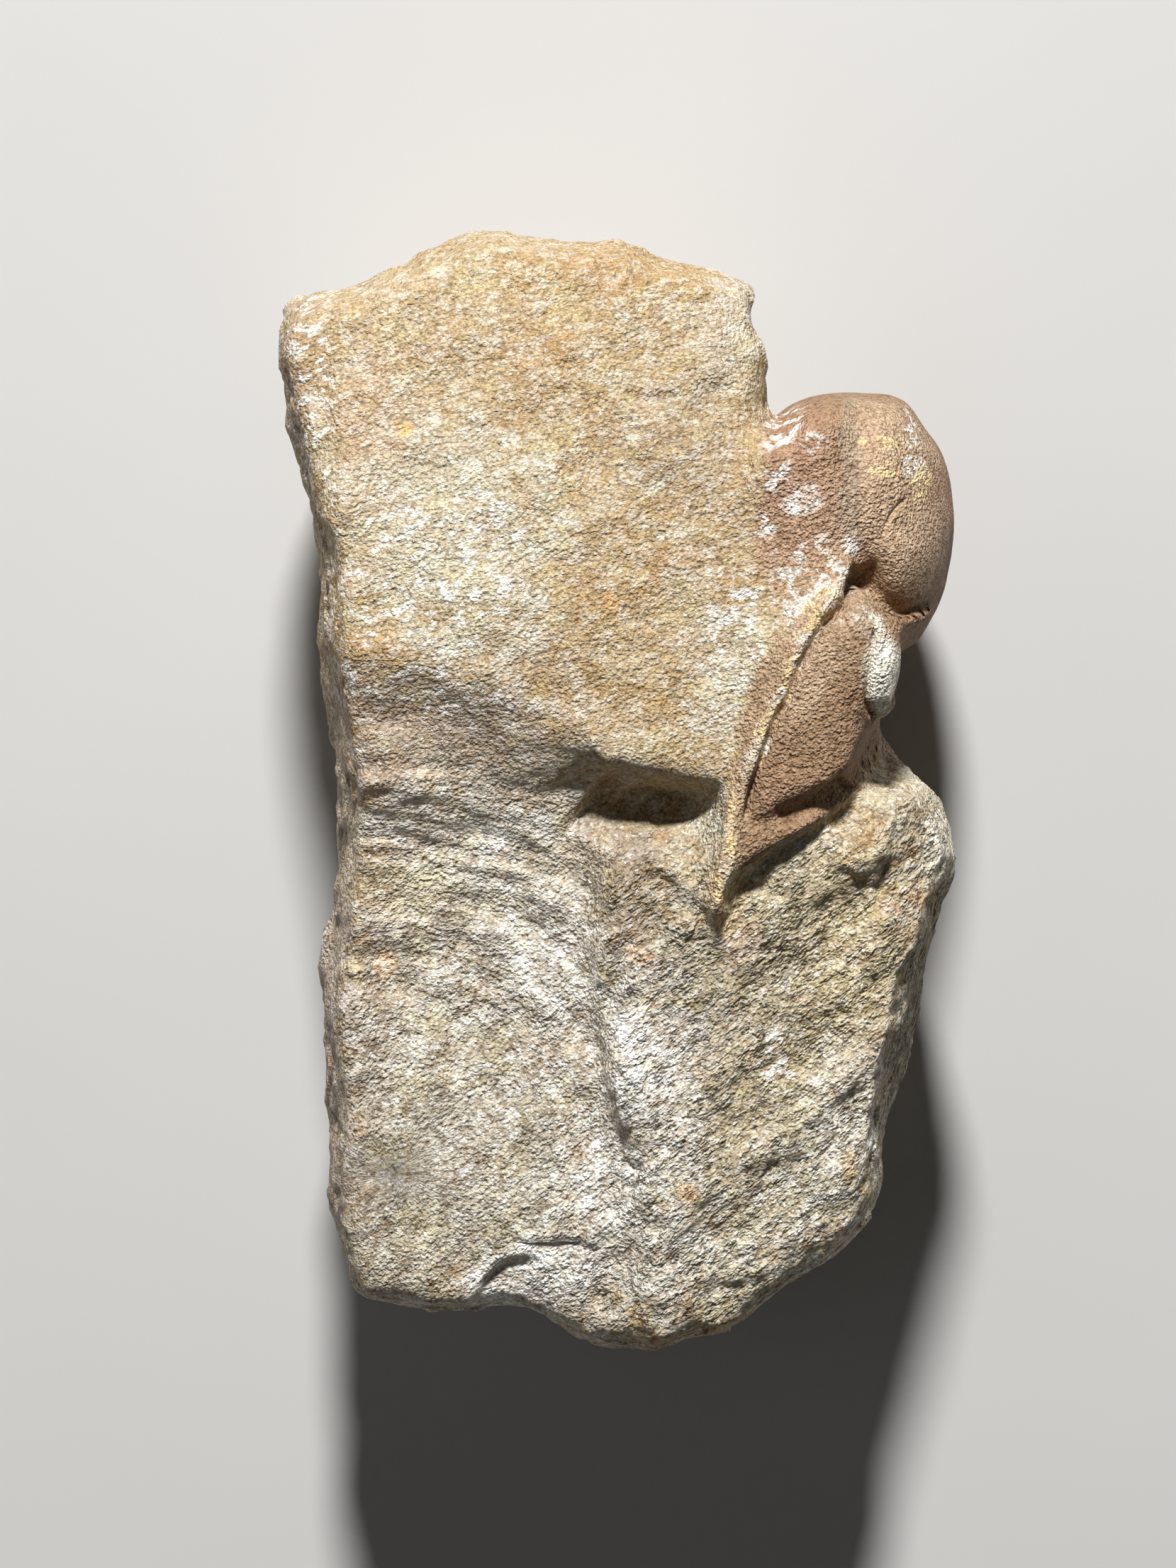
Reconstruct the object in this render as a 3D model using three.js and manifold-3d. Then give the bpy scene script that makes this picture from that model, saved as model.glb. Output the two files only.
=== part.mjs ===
// Fossil trilobite: the head of a trilobite standing out of the edge of a block of sandstone.
// Millimetres, +Z up. The block lies on its flat back, and the left side of the head looks up.
import * as THREE from 'three';
import { mergeVertices } from 'three/addons/utils/BufferGeometryUtils.js';
import Module from 'manifold-3d';

const wasm = await Module();
wasm.setup();
const { clamp, lerp, smoothstep } = THREE.MathUtils;

// ---------------------------------------------------------------- driving dimensions
const PARTING = 0.3;        // gap between the head and the stone around it
const BASE_DEPTH = 1.5;     // stone below the base plane, cut away flat
const MIDLINE = 20;         // height of the head's plane of symmetry
const BURIED = 8;           // below this height the far cheek is still in the stone
const THIN = 0.2;           // half thickness of the head at its free edge
const WALL_DENTS = 1.3;     // depth of the dents in the block's walls
const BLOCK_MIDDLE = [-1, -1];
const BLOCK_GRID = [30, 49, 5];
const HEAD_GRID = [16, 40, 1];
const FOOT_SLANT = 0.13;    // turns the head's cells to run along the foot of the frontal lobe

// The block's two large faces: a point on each, its height, its slopes and how much it bows.
const UPPER_FACE = { at: [-8, 12], height: 36.6, slope: [-0.02, -0.07], bow: 0.0045 };
const LOWER_FACE = { at: [-8, -10], height: 33.4, slope: [-0.02, 0.07], bow: 0.002 };

// Plan outline of the block: four sides, each from bottom to top or from left to right.
const BLOCK_LEFT = [
  [-21.6, -40.2], [-22.6, -36.2], [-23.6, -31.4], [-23.1, -27.4], [-23.9, -18], [-23.4, -11.8],
  [-22.5, -5], [-22.6, -0.4], [-23.6, 7], [-24, 14.3], [-23.7, 16.8], [-24.9, 22.6], [-26.6, 29.4],
  [-27.1, 34], [-26.8, 37.9],
];
const BLOCK_TOP = [
  [-26.8, 37.9], [-25.8, 39.2], [-20, 40.5], [-15.5, 42.9], [-11.4, 44.8], [-9.8, 44.9], [-6.8, 44],
  [-1.6, 43.8], [-0.3, 44.1], [2.2, 42.8], [8.1, 41.3], [11, 40.2],
];
const BLOCK_RIGHT = [
  [20.2, -34.5], [21, -31.5], [20.9, -27.7], [22.7, -23.2], [24.5, -16.6], [25.3, -10.7], [27, -6.9],
  [27.1, -4.7], [25.4, -0.9], [22.7, 1.8], [21.4, 3.8], [18.2, 6.5], [20, 14], [21, 20], [18.5, 25], [14, 28],
  [11.2, 29.6], [11.3, 31.3], [12, 34], [10.2, 36.7], [11, 40.2],
];
const BLOCK_BOTTOM = [
  [-21.6, -40.2], [-18.3, -41.2], [-12.1, -41.9], [-9.5, -41.2], [-7, -41.8], [-4.1, -43.6],
  [-2.7, -44.5], [3.3, -44.9], [5.8, -43.9], [9.5, -43.3], [12.9, -40.2], [17.5, -37.2],
  [20.2, -34.5],
];

// The simpler outline that the block's walls draw in to at its base.
const BASE_LEFT = [[-17, -35], [-21, -12], [-19, 10], [-21, 33]];
const BASE_TOP = [[-21, 33], [-9, 39], [6, 36]];
const BASE_RIGHT = [[14, -31], [20.5, -8], [18.5, 5], [20, 18], [10, 29], [6, 36]];
const BASE_BOTTOM = [[-17, -35], [-1, -40], [14, -31]];

// Plan outline of the head: the side in the stone, its front, its free back (dorsal) profile and
// the edge behind the cheek.
const HEAD_IN_STONE = [
  [8.2, -11.5], [7.6, -11], [7.3, -9.2], [7.5, -4], [8.2, 1.2], [9.2, 5], [10.6, 8.4], [11.6, 11.2], [11.3, 15],
  [10.6, 19], [10.5, 23.4], [10.9, 27], [12.1, 29.1],
];
const HEAD_FRONT = [[12.1, 29.1], [13.5, 30.6], [16.9, 31.6], [22.1, 31.4], [23.7, 30]];
const HEAD_PROFILE = [
  [18.2, -0.9], [19.3, 2], [20.7, 5.2], [21.8, 8], [22.4, 11], [25, 13.4], [26.4, 17.3], [26.9, 21.4],
  [26.1, 26.3], [23.7, 30],
];
const HEAD_BEHIND = [[8.2, -11.5], [8.8, -10.9], [9.2, -8.7], [11.5, -6.2], [15.8, -3.6], [18.2, -0.9]];
const HEAD_FREE_EDGE = [...HEAD_PROFILE, ...HEAD_FRONT.toReversed().slice(1)];

// Furrows and crests of the head, seen from above. The border furrow runs from the cheek spine
// round the front, and parts the border from the cheek and the frontal lobe.
const BORDER_FURROW = [
  [9.8, -4.4], [10.5, 0.4], [11.2, 2.7], [12.9, 7.5], [15.2, 11.9], [18.2, 16.4], [18.7, 20], [17.9, 24],
  [17.8, 28], [18.8, 31.5],
];
const BORDER_CREST = [[16, 14.6], [12.9, 9.2], [10.8, 3.7], [9.3, -0.2], [8.6, -4.5], [8.2, -11]];
const LOBE_FOOT = [[18.2, 16.8], [19.6, 15.9], [21.2, 14.4], [23.6, 14], [26.5, 15]];
const BACK_FURROW = [[9.8, -3.4], [12.9, -2.3], [15.8, -1.1], [18, 0.3], [20.5, 2.5]];

// The head's rounded lumps: centre, three radii and a turn in plan. The eyes are a pair, and the
// lobes behind the frontal lobe cross the plane of symmetry.
const EYE = { centre: [20.1, 9.6, 33.8], radii: [2.5, 4.4, 3.7], turn: 12 };
const FAR_EYE = { ...EYE, centre: [20.1, 9.6, 2 * MIDLINE - 33.8] };
const HIND_LOBES = [
  { centre: [22.5, 12.4, MIDLINE], radii: [2, 1.5, 7], turn: 10 },
  { centre: [20.5, 8.5, MIDLINE], radii: [1.7, 2, 6.2], turn: 0 },
  { centre: [19.3, 4.4, MIDLINE], radii: [1.8, 1.8, 7.4], turn: -15 },
];

// Steps and creases of the stone, seen from above.
const SCARP = [
  [-26, 10], [-21.2, 8.9], [-17.8, 7.2], [-12.6, 6.4], [-8.7, 4.9], [-5.3, 2.9], [2.7, 2.3], [8.1, 0.9],
  [30, 0.9],
];
const CENTRE_CREASE = [[1.6, -46], [0.4, -32.2], [-0.6, -25.4], [-1.8, -12.9], [-2.4, 2.5]];
const NECK_LEDGE = [[14.5, -6.2], [17.5, -5.6], [21, -4.2]];
const RIGHT_CREST = [[17, -40], [19.4, -24], [20.9, -16.3], [21.5, -9], [21.9, 4]];

// Rounded hollows of the stone: centre, reach along X and Y, and depth.
const SCOOP = { centre: [-12, -14], reach: [11, 15], depth: 3 };
const OVERHANG_PIT = { centre: [3, -1.2], reach: [5.5, 2.8], depth: 3.8 };

// ---------------------------------------------------------------- small functions
// 1 up to `from`, easing down to 0 at `to`.
const fade = (value, from, to) => 1 - smoothstep(value, from, to);

// The lower of several heights, with the corner between them rounded over about `round` mm.
function softMin(round, ...heights) {
  const least = Math.min(...heights);
  const sum = heights.reduce((total, height) => total + Math.exp((least - height) / round), 0);
  return least - round * Math.log(sum);
}

// Distance from a point to a line of points, negative on the line's right-hand side.
function leftOf(line, x, y) {
  let nearest = Infinity;
  let side = 1;
  for (let i = 1; i < line.length; i += 1) {
    const [ax, ay] = line[i - 1];
    const [dx, dy] = [line[i][0] - ax, line[i][1] - ay];
    const along = clamp(((x - ax) * dx + (y - ay) * dy) / (dx * dx + dy * dy), 0, 1);
    const distance = Math.hypot(x - ax - along * dx, y - ay - along * dy);
    if (distance < nearest) {
      nearest = distance;
      side = Math.sign(dx * (y - ay) - dy * (x - ax)) || 1;
    }
  }
  return side * nearest;
}

// A ridge that follows a line, or a groove where the height is negative.
function ridge(line, x, y, width, height) {
  return height * Math.exp(-((leftOf(line, x, y) / width) ** 2));
}

function hollow({ centre, reach, depth }, x, y) {
  return depth * Math.exp(-(((x - centre[0]) / reach[0]) ** 2) - ((y - centre[1]) / reach[1]) ** 2);
}

// Gentle lumps about `size` mm apart, between -1 and 1.
function lumps(x, y, z, size) {
  const turn = (2 * Math.PI) / size;
  const broad = Math.sin(turn * (x + 0.31 * y) + 1.3) * Math.cos(turn * (0.83 * y - 0.42 * x + 0.5 * z));
  const middle = Math.sin(1.7 * turn * (0.6 * x - 0.9 * y + 0.7 * z) + 2.1);
  const small = Math.cos(2.3 * turn * (0.9 * x + 0.5 * y - 0.4 * z));
  return (broad + 0.6 * middle + 0.4 * small) / 2;
}

function faceHeight(face, x, y) {
  const [dx, dy] = [x - face.at[0], y - face.at[1]];
  return face.height + face.slope[0] * dx + face.slope[1] * dy - face.bow * (dx * dx + dy * dy);
}

// ---------------------------------------------------------------- the forms
// Half the head's thickness at a point of its plan, measured from its plane of symmetry.
function headHalf(x, y) {
  const roll = (reach, width) => Math.sqrt(1 - (1 - clamp(reach / width, 0, 1)) ** 2);
  const inward = leftOf(HEAD_FREE_EDGE, x, y);
  const fromFurrow = -leftOf(BORDER_FURROW, x, y);
  const fromBack = leftOf(BACK_FURROW, x, y);
  const fromFoot = leftOf(LOBE_FOOT, x, y);
  const lobe = 14.2 * roll(Math.min(inward, fromFoot + 2.4, fromFurrow + 7), 8.5);
  const steep = lerp(2.8, 1.6, smoothstep(y, 3, 9));
  const cheek = 17.2 * roll(Math.min(steep * inward, fromFurrow + 3, fromBack + 2.8, 2.8 - fromFoot), 5);
  const border = lerp(16.4, 14.6, smoothstep(y, 10, 20)) * roll(inward, 4) - 3.2 * fade(y, -12, -3);
  const raised = lerp(cheek, lobe, smoothstep(fromFoot, -1.2, 1));
  const soft = lerp(0.6, 2, smoothstep(y, 17, 21));
  return lerp(border, raised, smoothstep(Math.min(fromFurrow, fromBack), -soft, soft))
    + ridge(BORDER_CREST, x, y, 0.9, 0.6) + 0.3 * lumps(x, y, 3, 12);
}

// Height of the block's upper surface at a point of its plan.
function stoneTop(x, y) {
  const lower = faceHeight(LOWER_FACE, x, y) - hollow(SCOOP, x, y) - hollow(OVERHANG_PIT, x, y)
    + 2 * fade(leftOf(CENTRE_CREASE, x, y), -1.6, 0.8) + ridge(NECK_LEDGE, x, y, 1.8, 1.6)
    - 0.6 * Math.max(0, -leftOf(RIGHT_CREST, x, y));
  const scarpFoot = -lerp(13, 0.9, smoothstep(x, -20, -2));
  const body = lerp(lower, faceHeight(UPPER_FACE, x, y), smoothstep(leftOf(SCARP, x, y), scarpFoot, 0.3));
  const rims = [
    lerp(23, 27, smoothstep(y, 0, 16)) - 5 * leftOf(BLOCK_LEFT, x, y),
    23 - 4 * leftOf(BLOCK_TOP, x, y),
    lerp(25, 28, smoothstep(y, -3, 1)) + 5 * leftOf(BLOCK_RIGHT, x, y),
    26 + 5 * leftOf(BLOCK_BOTTOM, x, y),
  ];
  const hackly = smoothstep(x, -3, 3) * fade(y, -8, -3);
  const open = softMin(0.5, body, ...rims) + 0.35 * lumps(x, y, 0, 11) + 0.2 * lumps(x, y, 5, 5)
    + 0.7 * hackly * lumps(0.77 * x - 0.64 * y, 0.2 * (0.64 * x + 0.77 * y), 0, 8);
  const outside = leftOf(HEAD_IN_STONE, x, y);
  const above = leftOf(HEAD_BEHIND, x, y);
  const headTop = MIDLINE + headHalf(x, y);
  const flush = smoothstep(y, 0.5, 2) * fade(y, 20, 24) * fade(Math.max(outside, 0), 0.4, 5);
  const collar = 1.8 * Math.exp(-Math.abs(outside) / 1.8) * fade(y, 1, 2) * smoothstep(y, -13, -9);
  const joined = lerp(open + collar, headTop, flush);
  const sunk = 0.6 + 3 * smoothstep(Math.min(-outside, above), 0.5, 2.5);
  const underHead = outside < 0.6 && above > -0.6 && leftOf(HEAD_FREE_EDGE, x, y) > 0;
  return underHead ? Math.min(joined, headTop - sunk) : joined;
}

// ---------------------------------------------------------------- solids
// A function for the smooth line through a side's points: it takes a part from 0 to 1 of the way
// along one axis and gives the point there.
function sideAlong(side, axis) {
  const curve = new THREE.SplineCurve(side.map(([x, y]) => new THREE.Vector2(x, y)));
  const points = curve.getPoints(8 * side.length).map((point) => point.toArray());
  return (part) => {
    const goal = lerp(side[0][axis], side.at(-1)[axis], part);
    const after = clamp(points.findIndex((point) => point[axis] >= goal), 1, points.length - 1);
    const [from, to] = [points[after - 1], points[after]];
    const share = clamp((goal - from[axis]) / (to[axis] - from[axis]), 0, 1);
    return [lerp(from[0], to[0], share), lerp(from[1], to[1], share)];
  };
}

// A function for the patch between four sides (a Coons patch), taking `u` across and `v` up.
function patchOf([left, top, right, bottom]) {
  const [leftAt, rightAt] = [sideAlong(left, 1), sideAlong(right, 1)];
  const [topAt, bottomAt] = [sideAlong(top, 0), sideAlong(bottom, 0)];
  return (u, v) => [0, 1].map((axis) => lerp(leftAt(v)[axis], rightAt(v)[axis], u)
    + lerp(bottomAt(u)[axis], topAt(u)[axis], v)
    - lerp(lerp(bottom[0][axis], bottom.at(-1)[axis], u), lerp(top[0][axis], top.at(-1)[axis], u), v));
}

// Spacing from 0 to 1 that is closer at both ends.
function crowdEnds(part, amount) {
  return lerp(part, (1 - Math.cos(part * Math.PI)) / 2, amount);
}

// A closed box of cells bent into a solid by `place(u, v, w)`, with each argument from 0 to 1.
function bentBox(cells, place) {
  const box = new THREE.BoxGeometry(1, 1, 1, ...cells);
  const position = box.getAttribute('position');
  for (let i = 0; i < position.count; i += 1) {
    const [u, v, w] = [position.getX(i), position.getY(i), position.getZ(i)].map((part) => part + 0.5);
    position.setXYZ(i, ...place(u, v, w));
  }
  return box;
}

function solidFrom(geometry) {
  geometry.deleteAttribute('normal');
  geometry.deleteAttribute('uv');
  const merged = mergeVertices(geometry, 1e-4);
  return new wasm.Manifold(new wasm.Mesh({
    numProp: 3,
    vertProperties: Float32Array.from(merged.getAttribute('position').array),
    triVerts: Uint32Array.from(merged.index.array),
  }));
}

function geometryFrom(solid) {
  const { vertProperties, triVerts } = solid.getMesh();
  const geometry = new THREE.BufferGeometry();
  geometry.setAttribute('position', new THREE.BufferAttribute(Float32Array.from(vertProperties), 3));
  geometry.setIndex(Array.from(triVerts));
  geometry.computeVertexNormals();
  return geometry;
}

function block() {
  const widest = patchOf([BLOCK_LEFT, BLOCK_TOP, BLOCK_RIGHT, BLOCK_BOTTOM]);
  const base = patchOf([BASE_LEFT, BASE_TOP, BASE_RIGHT, BASE_BOTTOM]);
  const rough = bentBox(BLOCK_GRID, (u, v, w) => {
    const [across, up] = [crowdEnds(u, 0.6), crowdEnds(v, 0.4)];
    const [[topX, topY], [baseX, baseY]] = [widest(across, up), base(across, up)];
    const height = lerp(-BASE_DEPTH, stoneTop(topX, topY), w);
    const bulge = 1 - (1 - w) ** 1.7;
    const dent = WALL_DENTS * Math.sin(Math.PI * w) * (1 + lumps(topX, topY, height, 15)) / 40;
    const inwards = (value, middle) => value + dent * (middle - value);
    return [
      inwards(lerp(baseX, topX, bulge), BLOCK_MIDDLE[0]),
      inwards(lerp(baseY, topY, bulge), BLOCK_MIDDLE[1]),
      height,
    ];
  });
  const below = new THREE.BoxGeometry(200, 200, 20).translate(0, 0, -10);
  return solidFrom(rough).subtract(solidFrom(below));
}

// The solid with its whole surface moved outwards.
function swollen(solid, amount) {
  const geometry = geometryFrom(solid);
  const [position, normal] = [geometry.getAttribute('position'), geometry.getAttribute('normal')];
  for (let i = 0; i < position.array.length; i += 1) {
    position.array[i] += amount * normal.array[i];
  }
  return solidFrom(geometry);
}

function lump({ centre, radii, turn }) {
  const ball = new THREE.SphereGeometry(1, 12, 8).rotateX(Math.PI / 2).scale(...radii);
  return solidFrom(ball.rotateZ(THREE.MathUtils.degToRad(turn)).translate(...centre));
}

function head() {
  const plan = patchOf([HEAD_IN_STONE, HEAD_FRONT, HEAD_PROFILE, HEAD_BEHIND]);
  const shell = bentBox(HEAD_GRID, (u, v, w) => {
    const slant = FOOT_SLANT * smoothstep(u, 0.4, 1) * Math.sin(Math.PI * v);
    const [x, y] = plan(crowdEnds(u, 0.5), v - slant);
    const half = Math.max(THIN, headHalf(x, y));
    return [x, y, lerp(Math.max(MIDLINE - half, BURIED), MIDLINE + half, w)];
  });
  return [EYE, FAR_EYE, ...HIND_LOBES].reduce((solid, part) => solid.add(lump(part)), solidFrom(shell));
}

// ---------------------------------------------------------------- the object
const materials = {
  stone: new THREE.MeshStandardMaterial({ color: '#c9b28c', roughness: 0.95, metalness: 0 }),
  cast: new THREE.MeshStandardMaterial({ color: '#a68a6c', roughness: 0.85, metalness: 0 }),
};

function named(name, solid, material) {
  const mesh = new THREE.Mesh(geometryFrom(solid), material);
  mesh.name = name;
  return mesh;
}

const trilobiteHead = head();
const matrixStone = block().subtract(swollen(trilobiteHead, PARTING));

const fossil = new THREE.Group();
fossil.add(named('matrix_stone', matrixStone, materials.stone));
fossil.add(named('trilobite_head', trilobiteHead, materials.cast));

// The origin is the middle of the base.
const middle = new THREE.Box3().setFromObject(fossil).getCenter(new THREE.Vector3());
fossil.position.set(-middle.x, -middle.y, 0);

export default fossil;
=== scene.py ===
"""A trilobite's head standing out of the edge of a hand-sized block of sandstone.

The block lies on its flat back. Numbers are in millimetres unless they say otherwise, in the
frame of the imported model: +Z up, +Y towards the front of the trilobite's head.
"""
import math
from functools import lru_cache

import bmesh
import bpy
import numpy as np
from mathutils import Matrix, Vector, noise
from mathutils.bvhtree import BVHTree


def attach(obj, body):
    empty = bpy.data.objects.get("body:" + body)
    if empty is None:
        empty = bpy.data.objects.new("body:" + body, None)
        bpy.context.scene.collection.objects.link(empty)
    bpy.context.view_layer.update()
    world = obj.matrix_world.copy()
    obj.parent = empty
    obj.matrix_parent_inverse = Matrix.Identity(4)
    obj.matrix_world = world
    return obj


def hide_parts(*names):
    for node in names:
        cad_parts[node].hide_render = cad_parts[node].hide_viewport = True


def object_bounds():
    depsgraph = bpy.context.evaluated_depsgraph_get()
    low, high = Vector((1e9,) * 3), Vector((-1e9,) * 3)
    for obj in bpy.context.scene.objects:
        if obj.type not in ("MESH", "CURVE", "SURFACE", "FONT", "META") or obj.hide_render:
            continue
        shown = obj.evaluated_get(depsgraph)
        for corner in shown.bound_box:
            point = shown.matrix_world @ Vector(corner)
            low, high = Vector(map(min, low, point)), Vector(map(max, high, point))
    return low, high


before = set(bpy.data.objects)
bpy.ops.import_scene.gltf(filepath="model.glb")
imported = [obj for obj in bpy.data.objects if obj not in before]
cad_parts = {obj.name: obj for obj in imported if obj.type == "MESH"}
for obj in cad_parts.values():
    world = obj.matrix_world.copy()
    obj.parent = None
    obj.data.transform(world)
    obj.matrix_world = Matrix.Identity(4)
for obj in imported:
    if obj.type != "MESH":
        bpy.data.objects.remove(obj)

bl_info = {
    "name": "Fossil trilobite",
    "version": (1, 0, 0),
    "blender": (4, 5, 0),
    "location": "3D View > Sidebar > Fossil",
    "description": "A trilobite's head in a block of sandstone, on a plain floor",
    "category": "Add Mesh",
}

CAD_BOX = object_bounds()
MM = 0.001

# ---------------------------------------------------------------- the relief
# Lines and places are seen from above. A line's left is what lies on the left of one who goes along it.
HEAD_EDGE = [
    (12.4, 31.0), (11.9, 29.2), (10.9, 27.0), (10.5, 23.4), (10.6, 19.0), (11.2, 15.4), (13.3, 13.2),
    (11.6, 10.9), (9.6, 7.2), (8.9, 3.3), (8.3, -0.2), (7.9, -3.8), (7.7, -6.6), (7.7, -9.1), (8.4, -10.9),
    (9.1, -9.1), (9.3, -7.2), (11.0, -5.3), (13.8, -3.8), (17.4, -1.6), (19.3, 0.6), (20.6, 3.4), (21.6, 6.0),
]
CREST_LINE = [
    (17.6, 16.6), (16.3, 14.6), (15.4, 13.0), (14.1, 11.2), (12.9, 9.0), (12.4, 7.2), (11.7, 5.6), (10.8, 3.4),
    (9.9, 1.2), (9.3, -0.2), (8.8, -2.4), (8.5, -3.7), (8.5, -5.7), (8.3, -7.6), (8.4, -9.6),
]
FURROW_LINE = [
    (18.9, 17.4), (18.3, 16.5), (17.4, 15.2), (16.6, 13.8), (15.9, 12.9), (14.9, 11.3), (14.1, 9.8),
    (13.4, 8.3), (13.1, 7.0), (12.1, 5.6), (11.5, 3.9), (10.8, 2.1), (10.3, 0.6), (10.0, -1.2),
    (9.8, -2.7), (9.6, -3.4),
]
CREST_TIP = [(8.4, -3.8), (8.5, -5.7), (8.4, -7.6), (8.5, -9.4), (8.6, -10.4)]
CHEEK_EDGE = [(9.7, -3.1), (12.1, -2.2), (14.3, -1.5), (16.6, -0.4), (18.4, 1.0), (19.8, 3.2), (20.2, 5.2)]
LOBE_FOOT = [(18.9, 17.8), (19.4, 16.8), (20.3, 15.5), (21.4, 14.7), (22.6, 14.3), (24.5, 14.8), (26.2, 16.2)]
EYE_JOINT = [
    (20.1, 12.4), (19.8, 11.9), (19.6, 10.9), (19.5, 9.6), (19.3, 8.3), (19.2, 6.9), (19.5, 5.8), (20.3, 5.1),
]
BAND_EDGE = [(8.9, -8.6), (9.5, -7.0), (11.0, -5.3), (13.8, -3.8), (17.4, -1.6), (19.0, 0.2)]
SHOULDER = [(-23.7, 10.7), (-18.9, 10.1), (-14.3, 9.2), (-9.8, 7.8), (-5.3, 5.3), (-1.3, 2.9)]
CREASE = [(-1.3, -3.8), (-1.8, -7.8), (-2.4, -12.4), (-2.1, -18.6), (-0.7, -25.4), (0.4, -30.5)]
WALL_EDGE = [
    (24.9, -6.0), (24.3, -8.0), (23.2, -11.4), (22.4, -13.3), (21.6, -14.8), (21.3, -16.7), (20.8, -19.3),
    (20.1, -21.1), (19.8, -25.0), (19.0, -29.0),
]
POCKET = [(-4.2, -3.6), (-2.8, -0.8), (-1.5, 2.4), (1.8, 2.5), (4.4, 1.9), (8.1, 0.7)]

# Ridges, and grooves where the height is negative: line, half width, height.
STONE_RIDGES = [
    (SHOULDER, 1.6, 0.3),
    ([(22.0, 1.5), (24.2, -1.2), (26.3, -4.4)], 1.0, 0.5),
    ([(24.2, -2.0), (24.1, -4.0), (24.3, -6.5)], 0.3, -0.3),
    (CREST_TIP, 0.55, 0.45),
    (WALL_EDGE, 0.4, 0.3),
    ([(-6.4, 35.9), (-6.1, 31.4), (-5.8, 28.0), (-6.3, 24.6)], 0.25, -0.22),
    ([(-4.4, 33.4), (-3.6, 32.2), (-3.9, 30.8)], 0.3, -0.2),
    ([(0.5, 31.0), (2.2, 30.2), (4.6, 30.6)], 0.3, -0.2),
]
CAST_RIDGES = [
    (CREST_LINE, 0.65, 0.35),
    (CREST_TIP, 0.55, 0.45),
    (FURROW_LINE, 0.3, -0.75),
    (CHEEK_EDGE, 0.5, -0.25),
    ([(12.0, -2.6), (15.2, -1.4), (17.0, -0.3), (18.0, 0.5)], 0.9, -0.6),
    (LOBE_FOOT, 0.8, -0.7),
    ([(18.9, 17.4), (18.3, 16.5), (17.4, 15.2), (16.6, 13.8)], 0.6, -0.4),
    (EYE_JOINT, 0.28, -0.6),
    ([(22.5, 22.8), (21.3, 21.6), (20.7, 20.3), (20.4, 19.1)], 0.16, -0.25),
    ([(12.9, 5.4), (15.8, 5.8), (19.1, 5.9)], 0.2, 0.1),
]

# Steps, higher on the left of the line: line, half width of the slope, reach, height.
STONE_STEPS = [
    (POCKET, 0.35, 2.6, 1.6),
    ([(1.8, -6.1), (4.4, -7.8), (7.5, -10.1)], 0.2, 1.6, 0.6),
    (CREASE, 0.6, 2.6, 1.5),
    ([(-8.9, -34.9), (-7.5, -35.9), (-4.7, -35.7), (-2.4, -36.2), (-1.3, -36.9)], 0.1, 1.2, 0.5),
    ([(-12.6, -41.8), (-12.0, -40.7), (-10.6, -38.7), (-8.6, -37.2), (-6.5, -36.9)], 0.25, 1.6, 0.8),
    ([(21.7, -0.8), (21.6, -2.1), (21.3, -4.2), (20.3, -6.8), (20.0, -8.0), (19.7, -9.9)], 0.2, 1.6, -0.6),
    ([(20.4, -7.9), (19.6, -7.4), (18.2, -6.9), (16.7, -6.1), (15.6, -5.9)], 0.12, 1.0, -0.35),
    ([(6.2, 42.5), (8.2, 37.0), (9.0, 31.5)], 0.9, 3.0, -0.8),
    ([(-22.6, 38.5), (-23.1, 34.0), (-22.9, 28.0), (-22.3, 20.0), (-22.3, 11.0)], 0.5, 2.5, 0.5),
    ([(-22.2, 9.0), (-22.2, -5.0), (-22.4, -18.0), (-21.8, -33.0)], 0.5, 2.2, 0.8),
    ([(6.5, -38.6), (9.5, -39.4), (12.4, -38.4)], 0.3, 1.6, 0.35),
]
# Where the block falls away beyond a line, on its left: line, reach, height.
STONE_FALLS = [
    (WALL_EDGE, 3.2, 4.5),
]
CAST_STEPS = [
    (CHEEK_EDGE, 0.6, 3.2, 0.8),
    (BAND_EDGE, 0.3, 2.6, 1.8),
    ([(15.8, 12.7), (16.6, 14.0), (17.4, 15.3), (18.3, 16.6), (19.0, 17.7)], 0.25, 1.2, 1.2),
]

# Hollows, and bumps where the depth is negative: middle, reach, turn in degrees, depth.
STONE_HOLLOWS = [
    ((2.6, -0.4), (4.6, 2.4), 0, 1.6),
    ((-7.0, 0.2), (4.0, 3.0), 0, -1.0),
    ((-8.0, -39.4), (2.6, 2.2), 30, 0.4),
    ((-15.5, 5.0), (9.0, 3.6), -12, 1.6),
    ((-14.0, -0.5), (8.0, 2.6), -12, -0.4),
    ((26.0, -5.0), (1.5, 1.8), 0, -0.8),
    ((8.0, -41.0), (2.5, 1.5), -20, 0.5),
    ((0.8, -23.8), (3.6, 2.8), 0, -0.8),
    ((18.6, -4.6), (2.4, 2.4), 0, -0.5),
]

CAST_DENTS = [
    ((24.6, 14.2), (1.4, 1.5), 0, -0.35),
]
CAST_HOLLOWS = [
    ((22.6, 18.0), (3.4, 2.0), 0, -0.9),
    ((22.9, 13.7), (3.2, 1.3), -8, 1.6),
    ((18.9, 15.9), (1.2, 1.2), 0, 1.1),
    ((15.0, 7.5), (3.4, 4.5), -25, -0.9),
    ((18.6, 4.6), (2.2, 3.2), -30, 0.4),
    ((8.1, -9.4), (1.0, 2.4), 0, -2.4),
    ((18.3, 17.2), (1.0, 1.0), 0, -0.6),
    ((18.0, 24.0), (1.3, 6.0), 0, 0.5),
    ((20.6, 10.6), (0.5, 0.9), 0, 0.35),
]

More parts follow.
